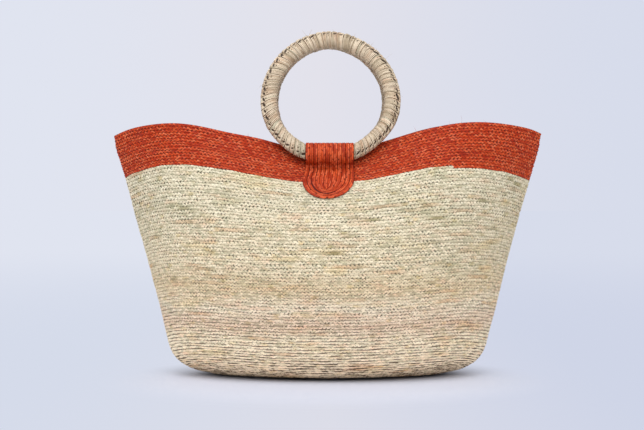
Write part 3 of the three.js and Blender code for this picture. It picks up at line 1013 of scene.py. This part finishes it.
# The ring handles. In a spread, the last two values are what the first two turn into
wrapLook = {
    "strips": [
        (0.0, (170, 153, 128)), (0.2, (196, 180, 156)), (0.5, (217, 200, 176)),
        (0.75, (208, 188, 164)), (0.9, (196, 174, 146)), (1.0, (192, 184, 160)),
    ],
    "seeds": (3.1, 7.7),  # keep the chances of strips and of whole turns apart
    "ownTone": 0.6,  # the rest of its tone a strip shares with its turn
    "chance": (0.1, 0.9),
    "fibres": (5.0, 6.0),  # how often these change along the ring and round it
    "fibreSpread": (0.34, 0.64, 0.76, 1.01),
    "flush": (0.6, 3.0),
    "flushSpread": (0.48, 0.68, 0.0, 0.5),
    "flushTone": (248, 222, 208),
    "specks": (1.3, 30.0),
    "speckSpread": (0.62, 0.7, 0.0, 0.5),
    "lineFades": (1.0, 5.0),
    "lineFadeSpread": (0.4, 0.6),
    "lineLeast": 0.5,
    "lineStrength": (0.2, 0.9, 0.3, 1.0),
    "lineReach": (0.34, 0.1),
    "grooveReach": (0.09, 0.03),
    "grooveSide": (0.36, 0.06),  # how far round the ring a groove runs
    "grooveSpread": (1.2, 0.8, 0.35, 1.0),
    # the tone of the specks and of the painted shade in lines and grooves, then that of the painted shade in
    # the gaps and holes
    "lineTone": (82, 60, 38),
    "holeSpread": (0.25, 0.6),
    "holeTone": (56, 40, 26),
    "roughness": (0.3, 0.7, 0.5, 0.72),
    "relief": (0.5, 0.2 * mm),
    "gloss": 0.35,
    "backTurns": 70,  # gives the back ring strips of its own
}
caneLook = {
    "grain": (120, 700, 700),
    "tones": [(0.3, (126, 92, 56)), (0.55, (176, 138, 92)), (0.75, (198, 164, 116))],
    "roughness": (0.3, 0.7, 0.5, 0.7),
    "relief": (0.3, 0.2 * mm),
}


def wrapMaterial():
    look = wrapLook
    material, tree, shader = newMaterial("wrap_palm")
    turn, side, hole = attributeOf(tree, "wrapAt")
    fine = times(turn, float(ring["strips"]))
    strip = maths("FLOOR", fine)
    own, ownChances = chanceAt(strip, look["seeds"][0])
    whole, wholeChances = chanceAt(maths("FLOOR", turn), look["seeds"][1])
    chance = maths("MULTIPLY_ADD", whole, 1 - look["ownTone"], times(own, look["ownTone"]))
    tone = toneRamp(spread(chance, *look["chance"]), look["strips"])
    fibres = streaks(fine, side, look["fibres"], 3.0)
    fibreTone = spread(fibres, *look["fibreSpread"])
    tone = blend(1.0, tone, vectorOf(fibreTone, fibreTone, fibreTone), "MULTIPLY")
    flush = spread(streaks(turn, side, look["flush"], 2.0), *look["flushSpread"])
    tone = blend(flush, tone, colour(*look["flushTone"]), "MULTIPLY")

    # dark specks of the palm itself, and painted shade in the lines between strips and the grooves between
    # turns
    speck = spread(streaks(fine, side, look["specks"], 1.0), *look["speckSpread"])
    fading = spread(streaks(strip, side, look["lineFades"], 0.0), *look["lineFadeSpread"])
    strength = spread(ownChances[0], *look["lineStrength"])
    strength = times(strength, spread(fading, 0.0, 1.0, look["lineLeast"]))
    line = times(spread(toEnd(maths("FRACT", fine)), *look["lineReach"]), strength)
    reach = maths("MULTIPLY_ADD", wholeChances[0], *look["grooveSide"])
    closeBy = spread(maths("DIVIDE", side, reach), *look["grooveSpread"])
    groove = times(spread(toEnd(maths("FRACT", turn)), *look["grooveReach"]), closeBy)
    tone = blend(highest(line, groove, speck), tone, colour(*look["lineTone"]))
    # painted shade in the gaps and holes at the hitches, and all over the bore
    tone = blend(spread(hole, *look["holeSpread"]), tone, colour(*look["holeTone"]))
    setShader(shader, tone, spread(fibres, *look["roughness"]), fibres, *look["relief"])
    shader.inputs["Specular IOR Level"].default_value = look["gloss"]
    return material


def caneMaterial():
    material, tree, shader = newMaterial("hoop_cane")
    mapping = {"Vector": objectPlace(tree), "Scale": caneLook["grain"]}
    grain = cloud(addNode(tree, "Mapping", mapping).outputs[0], 1.0, 3.0)
    tone = toneRamp(grain, caneLook["tones"])
    setShader(shader, tone, spread(grain, *caneLook["roughness"]), grain, *caneLook["relief"])
    return material


wrapPalm = wrapMaterial()
hoopCane = caneMaterial()
ringTop = 2 * ring["radius"] - axisOffset
ringLean = math.asin((-hinge[1] - ring["wrapRadius"] - ring["restGap"] / 2) / ringTop)


def ringPoints(share, side, radius):
    # share runs from one edge of the tab (0) round to the other (1), and below 0 through the tab
    reach = ring["radius"] + radius * np.cos(side)
    tabEdge = np.arcsin(edgeReach / reach)
    turn = np.where(share < 0, tabEdge * (1 + 2 * share), mix(tabEdge, 2 * math.pi - tabEdge, share))
    free = ease(*ring["freeFrom"], np.minimum(turn, 2 * math.pi - turn))
    fromTop = np.abs(turn - math.pi)
    reach = reach - free * ring["outOfRound"] * (np.sin(2 * fromTop) + ring["roundOffset"])
    x = -reach * np.sin(turn) + free * ring["sideways"] * np.sin(turn) ** 2
    y = radius * np.sin(side)
    z = ring["radius"] - axisOffset - reach * np.cos(turn)
    c, s = math.cos(ringLean), math.sin(ringLean)
    return np.stack([x + tab["shift"], y * c + z * s + hinge[1], z * c - y * s + hinge[2]], -1)


def hitches(share, phase, fromHitch, number, roll):
    # how much the beads add to the wrap's radius, and where the gaps and holes are, from 0 to 1
    overSide = fromHitch * ring["wrapRadius"]
    overTurn = (phase - 0.5 + hitch["uneven"] * roll[1][number]) * hitch["pitch"]
    c, s = math.cos(hitch["lean"]), math.sin(hitch["lean"])
    lengthwise, crosswise = overTurn * c + overSide * s, overSide * c - overTurn * s
    size = 1 + hitch["unevenSize"] * roll[2][number]
    halfLength, halfWidth, _ = hitch["gap"]
    gap = hill(lengthwise, halfLength * size, 4) * hill(crosswise, halfWidth * size)
    halfLength, halfWidth, height = hitch["knot"]
    onTurn, onSide = hitch["knotPlace"]
    toBead = ((phase + onTurn) % 1 - 0.5) * hitch["pitch"]
    bead = mix(hitch["knotLeast"], 1, hill(toBead, halfLength)) * hill(overSide - onSide, halfWidth)
    bead = height * bead * ease(*hitch["knotEnds"], fromEnds(share))
    halfLength, halfWidth, depth = hitch["hole"]
    onSide, vary = hitch["holePlace"]
    dot = hill(overTurn, halfLength) * hill(overSide + onSide + vary * roll[3][number], halfWidth)
    return bead, np.clip(gap + depth * dot * (roll[1][number] > hitch["holeChance"]), 0, 1)


def layWrap(name, node, body, mirrored):
    turns, strips, reach = ring["turns"], ring["strips"], ring["fineReach"]
    widths = rng.uniform(*ring["turnWidths"], turns)
    edges = np.concatenate([[0], np.cumsum(widths)]) / widths.sum()
    share = np.linspace(0, 1, turns * ring["perTurn"] + 1)[:, None]
    near = np.linspace(-reach, reach, ring["fineSides"], endpoint=False)
    far = np.linspace(reach, 2 * math.pi - reach, ring["plainSides"], endpoint=False)
    side = (np.concatenate([near, far]) + hitch["angle"])[None, :]
    fromHitch = (side - hitch["angle"] + math.pi) % (2 * math.pi) - math.pi
    turn = np.interp(share, edges, np.arange(turns + 1)) + ring["slant"] * np.cos(fromHitch)
    phase, stripPhase = turn % 1, (turn * strips) % 1
    number = np.clip(np.floor(turn).astype(int), 0, turns)
    roll = rolled(4, turns + 2)
    stripRoll = rolled((turns + 2) * strips)
    strip = np.clip(np.floor(turn * strips).astype(int), 0, len(stripRoll) - 1)
    grooveReach, deeper, closeTo = hitch["groove"]
    groove = 1 - ease(0, grooveReach, fromEnds(phase))
    groove = groove * (1 + deeper * hill(fromHitch, closeTo))
    stripEdge = 1 - ease(0, ring["stripEdge"], fromEnds(stripPhase))
    bead, hole = hitches(share, phase, fromHitch, number, roll)
    thinner, *ends = ring["thinner"]
    radius = ring["wrapRadius"] - ring["sunk"]
    radius = radius + ring["unevenTurn"] * roll[0][number] + ring["unevenStrip"] * stripRoll[strip]
    radius = radius - ring["groove"] * groove - ring["stripGroove"] * stripEdge * np.clip(1 - groove, 0, 1)
    radius = radius + bead - hitch["gap"][2] * hole
    radius = radius - thinner * (1 - ease(*ends, fromEnds(share)))
    boreRadius = ring["hoopRadius"] + tab["seamGap"]
    radius = np.maximum(radius, boreRadius + ring["overHoop"])
    boreShare = np.linspace(1, 0, ring["boreSteps"])[:, None]
    bore = ringPoints(boreShare, side + 0 * boreShare, boreRadius)
    points = np.concatenate([ringPoints(share, side, radius), bore])
    offHitch = np.abs(fromHitch) / (2 * math.pi)
    where = together(turn + wrapLook["backTurns"] * mirrored, offHitch, hole)
    # the bore counts as all hole, so it is painted in the shade tone of the holes
    where = np.concatenate([where, together(boreShare * turns, offHitch, 1.0)]).reshape(-1, 3)
    columns, sides, _ = points.shape
    faces = [tubeFaces(columns, sides, True)]
    part = (points.reshape(-1, 3), faces, where, stripMap(columns, sides, True, 0))
    setPiece(joinParts(name, [part], wrapPalm, "wrapAt", mirrored), body, node)


def layHoop(name, node, body, mirrored):
    hidden = np.linspace(-1, 0, ring["hiddenSteps"] + 2)[1:-1]
    share = np.concatenate([np.linspace(0, 1, ring["boreSteps"]), hidden])[:, None]
    sides = ring["hoopSides"]
    points = ringPoints(share, anglesRound(sides)[None, :], ring["hoopRadius"])
    faces = [tubeFaces(len(points), sides, True)]
    piece = meshPiece(name, points.reshape(-1, 3), faces, hoopCane, mirrored=mirrored)
    setPiece(piece, body, node)


for side, mirrored in bothSides:
    layWrap(f"{side}_wrap", f"{side}_ring_wrap", f"{side}_ring", mirrored)
    layHoop(f"{side}_hoop", f"{side}_ring_hoop", f"{side}_ring", mirrored)
print("rings wound")


# Stray fibres: a few ends of palm that stick out of the rings, the tabs and the rim
strays = {
    "width": 0.22 * mm,
    "flat": 0.5,
    "taper": 0.8,
    "sides": 5,
    "steps": 12,
    "length": (4 * mm, 10 * mm),
    "curl": 0.5,
    "grain": (3, 500, 0.25),  # stitches along it, how far into the braid's strands, and the place across
    "perRing": 9,
    "ringShare": (0.2, 0.8),
    "ringSide": (-60, 40),  # in degrees
    "ringRise": (-0.8 * mm, 4 * mm),
    "ringWaver": 2 * mm,
    "perTab": 5,
    "tabAcross": 0.9,
    "tabPlace": (0.2, 0.45),  # shares of the fold over the hoop
    "tabWaver": 0.4,
    "perRim": 14,
    "rimDown": 0.4,  # in rows
    "rimUp": 0.5,
    "rimWaver": 0.3,
}


def strayPart(root, out, length):
    # a thin leaf end that leaves its root, bends over and tapers off
    bend = unit(rng.normal(size=3))
    steps, sides = strays["steps"], strays["sides"]
    share = np.linspace(0, 1, steps)[:, None]
    line = root + length * (share * out + strays["curl"] * share**2 * bend)
    along = unit(np.gradient(line, axis=0))
    across = unit(np.cross(along, bend + (0.01, 0.02, 0.03)))
    upright = strays["flat"] * np.cross(along, across)
    angle = anglesRound(sides)
    width = strays["width"] * (1 - strays["taper"] * share)
    points = np.stack([line + width * (math.cos(a) * across + math.sin(a) * upright) for a in angle], 1)
    end = np.arange(sides)
    groups = [tubeFaces(steps, sides, False), np.stack([end[::-1], (steps - 1) * sides + end])]
    stitches, furthest, place = strays["grain"]
    where = np.concatenate([share * stitches + rng.uniform(0, furthest), place + 0 * share, 0 * share], 1)
    return points.reshape(-1, 3), groups, where.repeat(sides, 0), stripMap(steps, sides, False, 2)


def layStrays(name, body, material, label, roots):
    parts = [strayPart(root, out, rng.uniform(*strays["length"])) for root, out in roots]
    setPiece(joinParts(name, parts, material, label), body, None)


def wavering(points, ways, waver, mirrored=False):
    # the roots of strays and their ways out, which differ by chance
    flip = np.array((1, -1 if mirrored else 1, 1))
    ways = [way + waver * rng.normal(size=3) for way in ways]
    return [(point * flip, unit(way * flip)) for point, way in zip(points, ways)]


def ringRoots(mirrored):
    share = rng.uniform(*strays["ringShare"], strays["perRing"])
    side = rng.uniform(*strays["ringSide"], strays["perRing"]) * degree
    root, outer = [ringPoints(share, side, ring["wrapRadius"] + rise) for rise in strays["ringRise"]]
    return wavering(root, outer - root, strays["ringWaver"], mirrored)


def tabRoots(mirrored):
    reach, count = strays["tabAcross"], strays["perTab"]
    x = rng.uniform(-reach, reach, count) * tab["loopHalfWidth"] + tab["shift"]
    root, out = strapSurface(x, rng.uniform(*strays["tabPlace"], count) * foldLength)
    return wavering(root, out, strays["tabWaver"], mirrored)


def rimRoots():
    station = rng.uniform(0, around, strays["perRim"])
    root, out = wallSurface(station, np.full(strays["perRim"], bag["rows"] - strays["rimDown"]))
    up = strays["rimUp"]
    return wavering(root, mix(out, np.array((0, 0, 1)), up), strays["rimWaver"])


for side, mirrored in bothSides:
    layStrays(f"{side}_ring_strays", f"{side}_ring", wrapPalm, "wrapAt", ringRoots(mirrored))
    layStrays(f"{side}_tab_strays", "bag", dyedPalm, "braidAt", tabRoots(mirrored))
layStrays("rim_strays", "bag", dyedPalm, "braidAt", rimRoots())
print("strays set")


# Floor, light and camera
stage = {
    # the paper far away and near, from left to right, with painted light: darker to the right and nearer the
    # bag
    "paper": [(0.0, (224, 228, 240)), (0.5, (227, 226, 235)), (1.0, (215, 220, 235))],
    "nearPaper": [(0.0, (213, 219, 234)), (0.5, (220, 221, 232)), (1.0, (207, 213, 231))],
    "paperSide": 0.22,  # its left and right ends: as a direction far away, and in metres on the floor
    "nearSide": 0.32,
    "nearReach": (0.3, 2.6),
    "floorTone": (190, 193, 206),
    "bounceTone": (238, 238, 240),
    "floorSize": 12.0,
    # where the lit floor goes over into the plain paper: the middle, the reach along x and y, from and to
    "fade": (-0.05, 0.128, 0.1, (1.0, 1.9)),
    "ambient": 0.62,
    # the lamps: power, place and size
    "lamps": {
        "key": (40, (-0.1, -1.1, 2.8), 1.2),
        "fill": (40, (0.1, -2.4, 1.9), 1.8),
        "left_side": (17, (-2.4, -0.3, 1.3), 1.5),
        "right_side": (9, (2.4, -0.3, 1.3), 1.5),
    },
    "aim": (0, 0, 0.15),
}
shot = {
    "place": (-5.9 * mm, -1.6, 221.5 * mm),
    "tilt": 1.825,
    "focalPixels": 1495,
    "pictureWidth": 644,
    "sensor": 36,
}


def setFloor():
    material, tree, shader = newMaterial("floor_paper")
    tree.nodes.remove(shader)
    seen = addNode(tree, "LightPath").outputs["Is Camera Ray"]
    x, y, _ = split(objectPlace(tree))
    centre, reachX, reachY, edge = stage["fade"]
    partY = maths("DIVIDE", maths("SUBTRACT", y, centre), reachY)
    plain = spread(distance(maths("DIVIDE", x, reachX), partY), *edge)
    litTone = blend(seen, colour(*stage["bounceTone"]), colour(*stage["floorTone"]))
    lit = addNode(tree, "BsdfDiffuse", {"Color": litTone})
    sideways = spread(x, -stage["nearSide"], stage["nearSide"])
    tones = [toneRamp(sideways, stage[key]) for key in ("nearPaper", "paper")]
    paper = addNode(tree, "Emission", {"Color": blend(spread(distance(x, y), *stage["nearReach"]), *tones)})
    surface = addNode(tree, "MixShader", {0: times(plain, seen), 1: lit.outputs[0], 2: paper.outputs[0]})
    tree.links.new(surface.outputs[0], tree.nodes["Material Output"].inputs["Surface"])
    half = stage["floorSize"] / 2
    corners = np.array([[-half, -half, 0], [half, -half, 0], [half, half, 0], [-half, half, 0]])
    floor = meshPiece("floor", corners, [np.array([[0, 1, 2, 3]])], material)


def setLight():
    world = bpy.data.worlds.new("studio")
    bpy.context.scene.world = world
    world.use_nodes = True
    sky = world.node_tree
    path = addNode(sky, "LightPath").outputs
    show = highest(path["Is Camera Ray"], path["Is Glossy Ray"], path["Is Transmission Ray"])
    aim = split(addNode(sky, "TexCoord").outputs["Generated"])["X"]
    paper = toneRamp(spread(aim, -stage["paperSide"], stage["paperSide"]), stage["paper"])
    strength = maths("MULTIPLY_ADD", show, 1 - stage["ambient"], stage["ambient"])
    sky.links.new(blend(show, [1, 1, 1, 1], paper), sky.nodes["Background"].inputs["Color"])
    sky.links.new(strength, sky.nodes["Background"].inputs["Strength"])

    for name, (power, place, size) in stage["lamps"].items():
        lamp = bpy.data.lights.new(name, "AREA")
        lamp.energy = power
        lamp.size = size
        light = addObject(name, lamp)
        light.location = place
        light.rotation_euler = (Vector(stage["aim"]) - light.location).to_track_quat("-Z", "Y").to_euler()


def setCamera():
    lens = bpy.data.cameras.new("camera")
    lens.sensor_width = shot["sensor"]
    lens.lens = shot["focalPixels"] / shot["pictureWidth"] * shot["sensor"]
    camera = addObject("camera", lens)
    camera.location = shot["place"]
    camera.rotation_euler = ((90 - shot["tilt"]) * degree, 0, 0)
    bpy.context.scene.camera = camera


setFloor()
setLight()
setCamera()
bpy.context.scene.view_settings.view_transform = "Standard"
